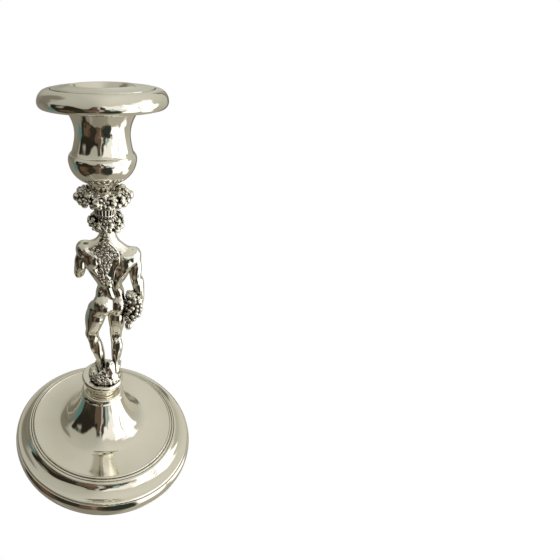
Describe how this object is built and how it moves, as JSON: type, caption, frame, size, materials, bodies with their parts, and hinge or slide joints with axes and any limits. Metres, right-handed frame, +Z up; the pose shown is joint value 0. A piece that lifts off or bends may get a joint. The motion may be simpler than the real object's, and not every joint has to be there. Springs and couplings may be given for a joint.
{
  "type": "figural candlestick",
  "caption": "Silver-plated candlestick with a classical youth as its stem, an urn socket, a rolled drip pan with a lift-out nozzle, and a round felted foot.",
  "frame": {"origin": "centre of the felt's underside, on the axis of the foot and urn", "axes": "+Z up along the axis, +Y the way the figure faces, so its back is towards -Y, +X to the right of a viewer behind it"},
  "size_m": [0.1364, 0.1364, 0.25],
  "materials": {
    "silver_plate": "polished silver plate, warm grey-white, with light swirl marks",
    "cast_silver": "polished cast silver plate with dark oxidised recesses",
    "zinc_steel": "zinc-plated steel hardware",
    "ballast_iron": "rough cast iron",
    "black_felt": "black wool felt"
  },
  "bodies": {
    "stand": {"foot_shell": "silver_plate", "foot_rim_ring": "silver_plate", "collar_ring": "silver_plate", "spool_neck": "silver_plate", "plinth_disc": "silver_plate", "urn_stem": "silver_plate", "urn_bowl": "silver_plate", "urn_neck": "silver_plate", "drip_pan": "silver_plate", "ground_mound": "cast_silver", "figure": "cast_silver", "left_arm": "cast_silver", "right_arm": "cast_silver", "fur_pelt": "cast_silver", "grape_bunch": "cast_silver", "head_wreath": "cast_silver", "fluted_basket": "cast_silver", "fruit_garland": "cast_silver", "base_plate": "zinc_steel", "lower_stud": "zinc_steel", "lower_washer": "zinc_steel", "lower_nut": "zinc_steel", "upper_stud": "zinc_steel", "socket_washer": "zinc_steel", "socket_nut": "zinc_steel", "ballast_disc": "ballast_iron", "felt_pad": "black_felt"},
    "nozzle": {"nozzle_plate": "silver_plate", "nozzle_sleeve": "silver_plate"}
  },
  "joints": [
    {"name": "nozzle_lift", "type": "slide", "parent": "stand", "child": "nozzle", "axis": [0, 0, 1], "range_m": [0, 0.03]}
  ]
}
